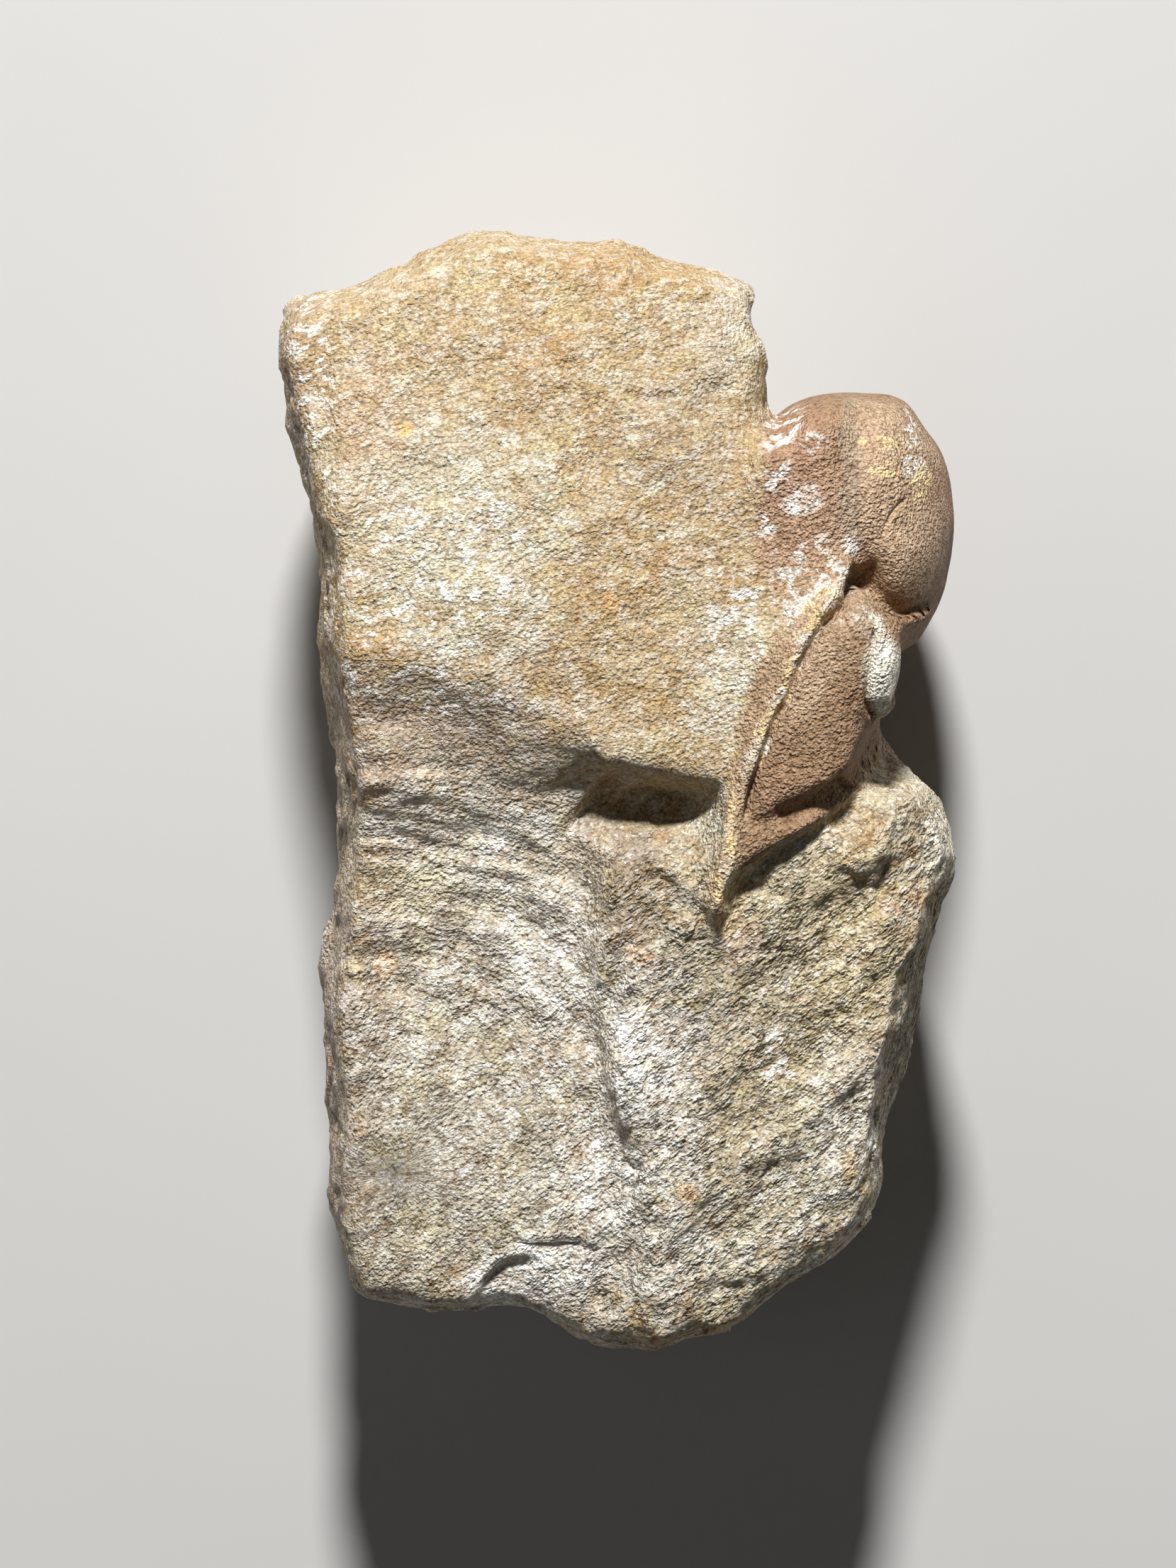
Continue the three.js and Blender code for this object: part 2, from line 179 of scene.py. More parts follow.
# Places pushed sideways: middle, reach, and how far.
PUSHES = [
    ((2.8, 2.2), (5.8, 2.2), (0.2, -1.6)),
    ((-5.0, 3.0), (2.6, 2.6), (1.7, -0.3)),
    ((22.4, 7.6), (1.3, 2.8), (-0.8, 0.0)),
    ((22.8, 16.2), (3.2, 1.6), (0.0, -1.2)),
    ((8.4, -9.2), (1.7, 3.6), (-0.8, 0.0)),
]

# Where the cast is smoothed as much as the stone: middle and reach.
SMOOTHED = [
    ((24.2, 14.2), (2.4, 1.9)),
    ((19.5, 1.0), (2.0, 3.0)),
]

# A shell-shaped break, whose fine ripples run round this point: they start, are full, weaken and end
# at these distances, and fade out between these X.
SHELL_MIDDLE = (-17.8, -30.5)
SHELL_REACH = (12, 17, 30, 36)
SHELL_END = (-3, 0)

# The upper face turns rough between these Y, going down, and the rough part hackly between these X.
BROKEN_Y = (-3, 2)
HACKLY_X = (-4, 0)
# Over this share of its length a line's relief fades at each end.
RIDGE_ENDS = 0.08
STEP_ENDS = 0.15

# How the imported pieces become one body: the gap between them that is closed, a place inside the head
# where both pieces' hidden walls end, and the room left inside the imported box.
CLOSED_GAP = 0.2
HEAD_MIDDLE = (17, 10, 21)
BOX_ROOM = 0.01
# How often the body is evened: all of it, then mostly the stone, then the loss that is put back.
EVENED_ALL, EVENED_STONE, EVENED_LOSS = 7, 14, 12

# Heights between which something starts, going up: the relief, the falls, the stains of the cast, the
# white of the eye, and the drawn edge of the head, which may widen the cast by a little.
RELIEF_Z = (0.4, 2.5)
FALLS_Z = (10, 32)
STAINS_Z = (21, 27)
EYE_Z = (24, 27)
DRAWN_Z = (24, 28)
DRAWN_WIDENS = 1.4

# ---------------------------------------------------------------- colours, as linear light
PALETTE = {
    "tan": (0.47, 0.35, 0.195),
    "ochre": (0.45, 0.30, 0.14),
    "cream": (0.62, 0.59, 0.47),
    "grey": (0.59, 0.54, 0.45),
    "sallow": (0.58, 0.515, 0.36),
    "dun": (0.34, 0.28, 0.21),
    "olive": (0.25, 0.225, 0.155),
    "purple": (0.36, 0.245, 0.19),
    "umber": (0.29, 0.20, 0.115),
    "white": (0.93, 0.93, 0.90),
    "crust": (0.97, 0.965, 0.94),
    "orange": (0.78, 0.42, 0.13),
    "yellow": (0.88, 0.68, 0.36),
    "straw": (0.62, 0.53, 0.29),
    "pale": (0.80, 0.77, 0.66),
    "eye": (0.92, 0.90, 0.80),
    "brown": (0.33, 0.21, 0.122),
    "rust": (0.42, 0.25, 0.16),
    "fawn": (0.56, 0.41, 0.275),
    "shadow": (0.10, 0.075, 0.05),
}
# What the colour is multiplied by at the darkest and at the palest: the grains' own colours together with the
# painted shade and painted light that follow the fine relief.
DARKEST_GRAIN_AND_SHADE = (0.42, 0.34, 0.26)
PALEST_GRAIN_AND_LIGHT = (1.12, 1.12, 1.1)
STONE_ROUGHNESS = 0.75

# Stains by colour, a few of whose ovals also paint shade or light where marked: how far it is broken into
# flecks, and its ovals, each with its middle, reach, turn in degrees and strength.
STONE_STAINS = {
    "ochre": (0.4, [
        ((2.0, 22.0), (11.0, 9.0), 0, 0.55), ((-19.0, 27.0), (3.0, 8.0), 0, 0.7),
        ((8.0, -13.0), (7.0, 7.0), 30, 0.5), ((9.0, -33.0), (6.0, 5.0), 0, 0.3),
        ((-13.0, 1.0), (7.0, 3.0), 0, 0.5),
    ]),
    "sallow": (0, [
        ((12.0, -20.0), (12.0, 22.0), 0, 0.75),
    ]),
    "grey": (0, [
        ((-10.0, -22.0), (15.0, 30.0), 0, 0.95),
        ((9.5, 37.0), (3.0, 6.0), -20, 0.6),
    ]),
    "cream": (0.25, [
        ((-13.5, 20.0), (9.0, 9.5), 20, 0.9), ((6.5, 13.0), (3.0, 4.5), 25, 0.5),
        ((9.5, -3.0), (5.0, 3.0), 0, 0.6), ((22.5, -1.5), (3.5, 4.5), 30, 0.6),
        # The oval at (26.0, -3.5) is pale stone and painted light on the slope there, which turns from the
        # light.
        ((26.0, -3.5), (2.6, 3.6), 0, 0.9), ((14.0, -31.0), (6.0, 5.0), 30, 0.6),
        ((2.0, -37.0), (15.0, 5.0), 0, 0.7),
        ((9.3, 9.3), (2.0, 5.2), -20, 0.9),
    ]),
    "straw": (0.35, [
        ((18.0, -13.0), (3.0, 8.0), -8, 0.6), ((-16.0, -35.0), (3.0, 3.0), 0, 0.35),
        ((-17.5, -8.0), (4.0, 2.0), 0, 0.7),
    ]),
    "fawn": (0.3, [
        ((-19.5, 29.0), (3.0, 8.0), 0, 0.7),
    ]),
    "dun": (0.3, [
        ((-14.0, 6.0), (10.0, 2.8), -12, 0.75), ((4.0, 27.0), (5.0, 6.5), 10, 0.45),
        ((7.5, 20.0), (3.0, 5.0), 0, 0.3), ((8.0, -17.0), (2.6, 6.0), -40, 0.5),
        ((13.0, -29.0), (4.0, 3.0), 30, 0.15), ((-11.5, -25.0), (5.0, 3.5), 20, 0.35),
        ((-7.5, -18.5), (4.5, 1.2), -38, 0.7), ((4.0, -10.0), (2.5, 3.0), 0, 0.3),
        ((-9.0, -13.0), (6.0, 2.0), -30, 0.6), ((-12.0, -20.0), (6.0, 1.6), -15, 0.6),
        ((-8.0, -25.0), (5.0, 2.0), -50, 0.5),
    ]),
    "olive": (0.1, [
        ((24.2, -17.5), (2.4, 11.5), -13, 0.9),
    ]),
    "purple": (0.35, [
        ((-20.0, 3.0), (4.0, 5.0), 0, 0.6), ((-12.0, 5.0), (9.0, 2.6), -14, 0.55),
        ((-20.5, -20.0), (2.5, 14.0), 0, 0.45), ((-24.0, -15.0), (2.2, 26.0), 0, 0.9),
        ((-26.5, 33.0), (2.5, 7.0), 0, 0.5),
    ]),
    # Umber: the stone's brown, together with painted shade on the dark slope beside the crease.
    "umber": (0.25, [
        ((0.6, -9.5), (2.4, 7.5), 0, 0.9), ((-2.8, -5.0), (1.5, 2.0), 0, 0.4),
    ]),
    "rust": (0.6, [
        ((9.6, -12.0), (2.2, 2.0), 0, 0.6),
    ]),
    "yellow": (0.3, [
        ((8.0, -8.6), (1.3, 2.8), 0, 1.0),
    ]),
    "white": (1, [
        ((-14.0, 7.5), (7.0, 2.0), -12, 0.6), ((-14.0, 17.0), (8.0, 6.0), 20, 0.7),
        ((13.0, -33.0), (7.0, 5.0), 20, 0.5), ((-24.5, 31.0), (2.2, 8.0), 0, 0.7),
        ((-21.5, 12.0), (2.0, 9.0), 0, 0.6),
        ((-9.0, -22.0), (12.0, 14.0), 0, 0.35), ((10.0, 11.0), (3.0, 6.0), 20, 0.8),
        ((12.5, -22.0), (2.0, 3.0), 30, 0.8), ((19.0, -32.0), (3.0, 5.0), 0, 0.6),
    ]),
    "crust": (0.35, [
        ((2.2, -22.0), (4.5, 9.0), 12, 0.5), ((0.0, -36.5), (9.0, 4.0), 0, 0.5),
        ((-6.0, -13.0), (4.0, 8.0), 28, 0.6), ((-12.0, -3.5), (8.0, 3.0), -10, 0.5),
        ((17.0, -26.0), (3.5, 6.0), -10, 0.5),
        ((1.4, -21.5), (3.6, 4.2), 0, 1.0), ((-0.8, -31.0), (3.4, 4.6), 0, 1.0),
        ((-5.5, -38.0), (5.0, 2.8), 0, 1.0), ((-10.6, -39.6), (2.8, 2.0), 0, 0.9),
        ((3.0, -27.0), (4.0, 5.0), 20, 0.6),
    ]),
    # Painted light on the slope where the block turns down on the right, which faces away from the light.
    "pale": (0.2, [
        ((25.6, -5.2), (2.2, 3.0), 0, 0.85),
    ]),
    "orange": (0.15, [
        ((-17.1, 28.0), (0.8, 0.6), 0, 0.9), ((-0.7, 14.6), (0.7, 0.7), 0, 0.7),
        ((-18.6, -14.0), (0.8, 1.2), 0, 0.5), ((1.3, -13.2), (1.0, 0.7), 0, 0.7),
        ((5.3, -32.0), (0.9, 0.6), -30, 0.8), ((18.0, -30.0), (0.6, 1.2), 0, 0.8),
    ]),
}
CAST_STAINS = {
    "fawn": (0.2, [
        ((8.3, -3.0), (1.6, 8.0), -4, 0.8), ((11.5, 7.5), (1.2, 7.0), -25, 0.5),
        ((14.3, 8.5), (2.2, 4.5), -25, 0.8),
        ((21.5, 25.5), (5.0, 6.0), 0, 0.8), ((22.5, 20.0), (4.5, 4.5), 0, 0.9),
        ((15.0, 18.0), (5.0, 9.0), 0, 0.55), ((12.0, 12.5), (5.0, 3.0), 45, 0.7),
    ]),
    "rust": (0.2, [
        ((13.5, 24.0), (3.5, 7.0), 0, 0.7), ((8.8, -11.2), (1.4, 1.2), 0, 0.8),
    ]),
    # Dun along the valley beside the frontal lobe: grey-brown cast together with painted shade in the valley.
    "dun": (0.2, [
        ((18.0, 24.0), (0.9, 6.5), 0, 0.6),
    ]),
    "white": (1, [
        ((12.6, 28.4), (1.5, 2.2), -30, 0.9), ((15.2, 26.8), (1.3, 0.9), -30, 0.8),
        ((11.8, 24.0), (1.0, 1.6), -30, 0.8), ((10.5, 20.5), (1.6, 1.2), 0, 0.9),
        ((14.0, 15.5), (4.0, 3.0), 30, 0.6), ((23.0, 27.8), (0.6, 3.2), 0, 0.8),
    ]),
    "crust": (0.7, [
        ((14.2, 22.4), (1.6, 1.2), 0, 0.9), ((18.0, 19.0), (0.8, 1.2), -20, 0.8),
        ((23.0, 25.2), (0.9, 0.9), 0, 0.8),
    ]),
    "yellow": (0.95, [
        ((15.5, 14.2), (1.6, 1.0), 40, 0.8), ((20.8, 27.2), (1.8, 0.6), 0, 0.8),
        ((20.8, 24.9), (1.6, 0.6), 0, 0.7), ((23.8, 24.0), (1.1, 1.3), -30, 0.9),
        ((8.1, -5.5), (0.9, 4.6), -4, 1.0), ((7.8, -9.5), (0.8, 1.2), 0, 0.9),
    ]),
}
EYE_MIDDLE = (20.7, 8.4)
EYE = [(EYE_MIDDLE, (1.8, 3.2), 6, 1.0)]
EYE_SMEAR = [((19.4, 12.8), (1.2, 1.7), 35, 1.0)]
STREAKED_WALL = [((24.2, -17.5), (2.4, 11.5), -13, 1.0)]


def smoothstep(value, low, high):
    """Nothing below low and one above high, with a soft rise between them."""
    part = np.clip((value - low) / (high - low), 0, 1)
    return part * part * (3 - 2 * part)


def rounded(line, times=2):
    """The line with its corners cut."""
    for _ in range(times):
        cut = [line[0]]
        for (ax, ay), (bx, by) in zip(line, line[1:]):
            cut.append((0.75 * ax + 0.25 * bx, 0.75 * ay + 0.25 * by))
            cut.append((0.25 * ax + 0.75 * bx, 0.25 * ay + 0.75 * by))
        line = [*cut, line[-1]]
    return line


def from_line(x, y, line):
    """Each point's distance from a line, positive on its left, and its share of the way along."""
    line = rounded(line)
    lengths = [math.dist(a, b) for a, b in zip(line, line[1:])]
    whole, passed = sum(lengths), 0
    away, share = np.full(x.shape, 1e9), np.zeros(x.shape)
    for (ax, ay), (bx, by), length in zip(line, line[1:], lengths):
        dx, dy = (bx - ax) / length, (by - ay) / length
        along = np.clip((x - ax) * dx + (y - ay) * dy, 0, length)
        side = dx * (y - ay) - dy * (x - ax)
        gap = np.hypot(x - ax - along * dx, y - ay - along * dy)
        closer = gap < np.abs(away)
        away = np.where(closer, np.where(side < 0, -gap, gap), away)
        share = np.where(closer, (passed + along) / whole, share)
        passed += length
    return away, share


def fading(share, length):
    """One along a line and nothing at its two ends, which fade over this share of it."""
    return smoothstep(share, 0, length) * smoothstep(1 - share, 0, length)


def ridge(x, y, line, width, height):
    """The height of a ridge along a line."""
    away, share = from_line(x, y, line)
    return height * fading(share, RIDGE_ENDS) * np.exp(-(away / width) ** 2)


def step(x, y, line, width, reach, height):
    """Half the height up on a line's left and half down on its right, gone beyond the reach."""
    away, share = from_line(x, y, line)
    return height / 2 * fading(share, STEP_ENDS) * np.tanh(away / width) * np.exp(-(away / reach) ** 2)


def fall(x, y, line, reach, height):
    """A slope down on a line's left, as deep as the height beyond the reach."""
    away, share = from_line(x, y, line)
    return -height * fading(share, STEP_ENDS) * np.clip(away / reach, 0, 1)


def hollow(x, y, middle, reach, turn, depth):
    """The height of an oval hollow."""
    angle = math.radians(turn)
    dx, dy = x - middle[0], y - middle[1]
    along = (dx * math.cos(angle) + dy * math.sin(angle)) / reach[0]
    across = (dy * math.cos(angle) - dx * math.sin(angle)) / reach[1]
    return -depth * np.exp(-(along * along + across * across))


def shell(points):
    """Fine ripples that run round the middle of the shell-shaped break."""
    x, y = points[:, 0] - SHELL_MIDDLE[0], points[:, 1] - SHELL_MIDDLE[1]
    away = np.hypot(x, y)
    first, full, weaker, last = SHELL_REACH
    shown = smoothstep(away, first, full) * (1 - smoothstep(away, weaker, last))
    shown = shown * (1 - smoothstep(points[:, 0], *SHELL_END))
    unrolled = np.column_stack([5 * np.arctan2(y, x), away, np.zeros(len(x))])
    return shown * (0.6 * bumps(unrolled, 2.6, 41.0) - 0.45 * np.abs(bumps(unrolled, 1.5, 17.0)))


def shares(points, ragged, ovals):
    """How far each point is inside the ovals: 0 to their strength, with ragged edges."""
    share = np.zeros(len(points))
    for middle, reach, turn, strength in ovals:
        inside = -hollow(points[:, 0], points[:, 1], middle, reach, turn, 1.0)
        away = np.sqrt(-np.log(np.maximum(inside, 1e-30)))
        share = np.maximum(share, strength * (1 - smoothstep(away + ragged, 0.6, 1.3)))
    return share


def bumps(points, size, seed):
    """Smooth bumps about `size` apart, mostly between -1 and 1."""
    return np.array([noise.noise(Vector(point)) for point in points / size + seed])


def facets(points, size, seed):
    """Small tilted planes about `size` across, as on broken stone."""
    heights = []
    for point in points / size + seed:
        place = Vector(point)
        cell = noise.voronoi(place)[1][0]
        tilt = noise.cell_vector(cell * 31.7) - Vector((0.5, 0.5, 0.5))
        heights.append((place - cell).dot(tilt) * 1.6 + tilt.x * 0.5)
    return np.array(heights)


def turned(points, degrees, stretch):
    """The points turned in plan and drawn together along X, which draws a pattern out along it."""
    angle = math.radians(degrees)
    x = points[:, 0] * math.cos(angle) + points[:, 1] * math.sin(angle)
    y = points[:, 1] * math.cos(angle) - points[:, 0] * math.sin(angle)
    return np.column_stack([x / stretch, y, points[:, 2]])


# ---------------------------------------------------------------- mesh tools
def with_modifiers(mesh, *modifiers):
    """A new mesh: this one after these modifiers."""
    holder = bpy.data.objects.new("holder", mesh)
    bpy.context.scene.collection.objects.link(holder)
    for kind, settings in modifiers:
        modifier = holder.modifiers.new(kind, kind)
        for key, value in settings.items():
            setattr(modifier, key, value)
    graph = bpy.context.evaluated_depsgraph_get()
    result = bpy.data.meshes.new_from_object(holder.evaluated_get(graph), depsgraph=graph)
    bpy.data.objects.remove(holder)
    return result


def groups_of(faces):
    """The faces in groups that hang together, the largest first."""
    left, groups = set(faces), []
    while left:
        group, waiting = [], [left.pop()]
        while waiting:
            face = waiting.pop()
            group.append(face)
            for edge in face.edges:
                for other in edge.link_faces:
                    if other in left:
                        left.discard(other)
                        waiting.append(other)
        groups.append(group)
    return sorted(groups, key=len, reverse=True)


def split_faces(shape, wanted):
    """Splits the wanted faces into four."""
    edges = dict.fromkeys(edge for face in shape.faces if wanted(face) for edge in face.edges)
    bmesh.ops.subdivide_edges(shape, edges=list(edges), cuts=1, use_grid_fill=True)
    bmesh.ops.triangulate(shape, faces=[face for face in shape.faces if len(face.verts) > 4])
    shape.normal_update()


def evened(values, edges, times, share=0.5):
    """Each vertex's values, moved `times` times towards the mean of its neighbours."""
    values = np.array(values, float).reshape(len(values), -1)
    ends, starts = np.concatenate([edges[:, 0], edges[:, 1]]), np.concatenate([edges[:, 1], edges[:, 0]])
    count = np.bincount(ends, minlength=len(values))[:, None]
    for _ in range(times):
        around = np.column_stack([np.bincount(ends, column[starts], len(values)) for column in values.T])
        values = values + share * (around / count - values)
    return values


def arrays_of(shape):
    """The mesh's points in mm, their normals, and its edges."""
    shape.verts.index_update()
    points = np.array([vertex.co for vertex in shape.verts]) / MM
    normals = np.array([vertex.normal for vertex in shape.verts])
    edges = np.array([[end.index for end in edge.verts] for edge in shape.edges])
    return points, normals, edges


def put_in_order(shape):
    """Sorts the edges and faces, because a bmesh operator may leave them in any order."""
    shape.verts.index_update()
    count = len(shape.verts)

    def number(part):
        low, middle, *high = sorted(vertex.index for vertex in part.verts)
        return (low * count + middle) * count + (high[0] if high else 0)

    shape.edges.sort(key=number)
    shape.faces.sort(key=number)


def put_points(shape, points):
    """Moves the mesh's points to these places, in mm."""
    for vertex, point in zip(shape.verts, points * MM):
        vertex.co = point
    shape.normal_update()


def seam_distance(points):
    """How far each point is inside the cast: mm from the seam, negative in the stone."""
    nearest = {}
    for node in ("matrix_stone", "trilobite_head"):
        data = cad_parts[node].data
        tree = BVHTree.FromPolygons([v.co for v in data.vertices], [p.vertices for p in data.polygons])
        nearest[node] = np.array([tree.find_nearest(Vector(point))[3] for point in points * MM]) / MM
    seam = nearest["matrix_stone"] - nearest["trilobite_head"]
    edge = from_line(points[:, 0], points[:, 1], HEAD_EDGE)[0]
    on_top = smoothstep(points[:, 2], *DRAWN_Z)
    return seam + on_top * (np.minimum(seam + DRAWN_WIDENS, edge) - seam)


# ---------------------------------------------------------------- the carved specimen
def relief(points, normals, in_cast):
    """How far each point moves, in mm."""
    x, y = points[:, 0], points[:, 1]
    wander = np.column_stack([bumps(points, 2.5, seed) for seed in (11.3, 47.9)]) * 0.35
    wx, wy = x + wander[:, 0], y + wander[:, 1]
    up = smoothstep(normals[:, 2], 0.1, 0.5)
    hackly = (1 - smoothstep(y, *BROKEN_Y)) * smoothstep(x, *HACKLY_X)

    stone_up = sum(ridge(wx, wy, *each) for each in STONE_RIDGES)
    stone_up += sum(step(wx, wy, *each) for each in STONE_STEPS)
    stone_up += sum(hollow(wx, wy, *each) for each in STONE_HOLLOWS)
    stone_up += shell(points)
    shared_up = sum(step(x, y, *each) for each in CAST_STEPS)
    shared_up += sum(hollow(x, y, *each) for each in CAST_HOLLOWS)

    rough = 0.35 * bumps(points, 7, 3.1) + 0.2 * bumps(points, 3, 9.7) + 0.14 * bumps(points, 1.3, 21.4)
    broken = 0.25 * facets(turned(points, 50, 2.0), 3.4, 5.5) + 0.12 * facets(turned(points, 42, 1.8), 1.4, 8.5)
    broken -= 0.22 * np.abs(bumps(turned(points, 40, 2.6), 1.2, 14.2))
    stone_out = rough + broken * (0.2 + 0.8 * np.maximum(hackly, 1 - up))
    stone_out += 0.45 * facets(points, 6, 33.5) * (1 - up)

    cast_out = sum(ridge(x, y, *each) for each in CAST_RIDGES)
    cast_out += sum(hollow(x, y, *each) for each in CAST_DENTS)
    cast_out = cast_out * smoothstep(normals[:, 2], -0.1, 0.4) + 0.05 * bumps(points, 1.6, 31.2)

    outward = stone_out * (1 - in_cast) + cast_out * in_cast
    sideways = np.zeros((len(points), 3))
    for middle, reach, push in PUSHES:
        sideways[:, :2] -= hollow(x, y, middle, reach, 0, 1.0)[:, None] * push
    sideways[:, 2] = (stone_up * (1 - in_cast) + shared_up) * up
    falls = sum(fall(x, y, *each) for each in STONE_FALLS)
    sideways[:, 2] += falls * smoothstep(points[:, 2], *FALLS_Z) * (1 - in_cast)
    return outward[:, None] * normals + sideways


def closed_body(cell):
    """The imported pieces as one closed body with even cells, as bmesh."""
    shape = bmesh.new()
    for node in ("matrix_stone", "trilobite_head"):
        shape.from_mesh(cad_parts[node].data)
    bmesh.ops.remove_doubles(shape, verts=shape.verts, dist=1e-6)
    shape.normal_update()
    for vertex in shape.verts:
        vertex.co += vertex.normal * CLOSED_GAP * MM
    rough = bpy.data.meshes.new("rough")
    shape.to_mesh(rough)
    shape.free()

    remeshed = with_modifiers(rough, ("REMESH", {"mode": "VOXEL", "voxel_size": cell * MM}))
    shape = bmesh.new()
    shape.from_mesh(remeshed)
    for mesh in (rough, remeshed):
        bpy.data.meshes.remove(mesh)
    for group in groups_of(shape.faces)[1:]:
        bmesh.ops.delete(shape, geom=group, context="FACES")
    shape.normal_update()
    return shape


def soften(shape):
    """Rounds the body's edges, the cast's far less than the stone's, and keeps its broad shape."""
    points, normals, edges = arrays_of(shape)
    points = points - CLOSED_GAP * normals
    before = points
    kept = smoothstep(seam_distance(points), -0.5, 0.5)
    for middle, reach in SMOOTHED:
        kept *= 1 + hollow(points[:, 0], points[:, 1], middle, reach, 0, 1.0)
    points = evened(points, edges, EVENED_ALL)
    points = evened(points, edges, EVENED_STONE, 0.5 * (1 - 0.85 * kept[:, None]))
    points = points + evened(before - points, edges, EVENED_LOSS)
    put_points(shape, points)


def split_finer(shape):
    """Splits the faces that look up, and those of the cast once more."""
    split_faces(shape, lambda face: face.normal.z > 0.2)
    deep = dict(zip(shape.verts, seam_distance(arrays_of(shape)[0])))
    split_faces(shape, lambda face: face.normal.z > -0.2 and max(deep.get(v, -9) for v in face.verts) > -0.8)


def measured(shape, seam):
    """What the finish reads at each point: hollows, the crest, and every stain's share."""
    points, normals, edges = arrays_of(shape)
    hollows = ((evened(points, edges, 12) - points) * normals).sum(1)
    crest = np.abs(from_line(points[:, 0], points[:, 1], CREST_LINE)[0])
    measures = {"seam": seam, "hollow": hollows, "crest": crest}
    ragged = 0.45 * bumps(points, 2.2, 61.0) + 0.25 * bumps(points, 1.0, 67.0) + 0.15 * bumps(points, 0.5, 71.0)
    near_top = smoothstep(points[:, 2], *STAINS_Z)
    for stain, (_, ovals) in STONE_STAINS.items():
        measures["stone_" + stain] = shares(points, ragged, ovals)
    for stain, (_, ovals) in CAST_STAINS.items():
        measures["cast_" + stain] = shares(points, ragged, ovals) * near_top
    on_eye = points[:, 2] + 2 * ragged - 0.15 * (points[:, 1] - EYE_MIDDLE[1]) ** 2
    measures["eye"] = shares(points, ragged * 0.25, EYE) * smoothstep(on_eye, *EYE_Z)
    measures["smear"] = shares(points, ragged * 0.4, EYE_SMEAR) * near_top
    measures["wall"] = shares(points, ragged * 0.3, STREAKED_WALL)
    return measures


@lru_cache(maxsize=1)
def carved(cell):
    """The whole specimen as one closed body, as bmesh, and what is measured at its points."""
    shape = closed_body(cell)
    soften(shape)
    split_finer(shape)

    points, normals, edges = arrays_of(shape)
    points = evened(points, edges, 3)
    seam = seam_distance(points)
    in_cast = evened(smoothstep(seam, -0.35, 0.35), edges, 2)[:, 0]
    off_base = smoothstep(points[:, 2], *RELIEF_Z)[:, None]
    points = points + relief(points, normals, in_cast) * off_base
    points[:, 2] *= smoothstep(points[:, 2], 0.0, 0.8)
    low, high = np.array(CAD_BOX[0]) / MM, np.array(CAD_BOX[1]) / MM
    points = np.clip(points, low + BOX_ROOM, high - BOX_ROOM)
    put_points(shape, points)

    measures = measured(shape, seam)
    number = shape.verts.layers.int.new("number")
    for vertex in shape.verts:
        vertex[number] = vertex.index
    return shape, measures


def piece_of(name, of_cast, cell):
    """One of the two pieces, closed behind the seam."""
    body, measures = carved(cell)
    shape = body.copy()
    number, seam = shape.verts.layers.int["number"], measures["seam"].tolist()
    cast = {face for face in shape.faces if sum(seam[vertex[number]] for vertex in face.verts) > 0}
    cast = set(groups_of(cast)[0])
    stone = set(groups_of(set(shape.faces) - cast)[0])
    other = [face for face in shape.faces if (face in stone) == of_cast]
    bmesh.ops.delete(shape, geom=other, context="FACES")

    rim = [edge for edge in shape.edges if edge.is_boundary]
    inside = Vector(HEAD_MIDDLE) * MM
    walls = bmesh.ops.extrude_edge_only(shape, edges=rim)["geom"]
    ring = [part for part in walls if isinstance(part, bmesh.types.BMVert)]
    bmesh.ops.pointmerge(shape, verts=ring, merge_co=inside)
    for edge in rim:
        edge.smooth = False
    put_in_order(shape)
    bmesh.ops.recalc_face_normals(shape, faces=shape.faces)
    for face in shape.faces:
        face.smooth = True

    mesh = bpy.data.meshes.new(name)
    shape.to_mesh(mesh)
    shape.free()
    numbers = np.empty(len(mesh.vertices), np.int32)
    mesh.attributes["number"].data.foreach_get("value", numbers)
    for measure, values in measures.items():
        attribute = mesh.attributes.new(measure, "FLOAT", "POINT")
        attribute.data.foreach_set("value", values[numbers].astype(np.float32))
    mesh.attributes.remove(mesh.attributes["number"])
    piece = bpy.data.objects.new(name, mesh)
    bpy.context.scene.collection.objects.link(piece)
    return piece


# ---------------------------------------------------------------- materials
class Signal:
    """A shader socket that can be used in sums."""

    def __init__(self, paint, socket):
        self.paint, self.socket = paint, socket

    def output(self, name):
        """Another output of the same node."""
        return Signal(self.paint, self.socket.node.outputs[name])

    def __add__(self, other):
        return self.paint.math("ADD", self, other)

    def __radd__(self, other):
        return self.paint.math("ADD", other, self)

    def __sub__(self, other):
        return self.paint.math("SUBTRACT", self, other)

    def __rsub__(self, other):
        return self.paint.math("SUBTRACT", other, self)

    def __mul__(self, other):
        return self.paint.math("MULTIPLY", self, other)

    def __rmul__(self, other):
        return self.paint.math("MULTIPLY", other, self)


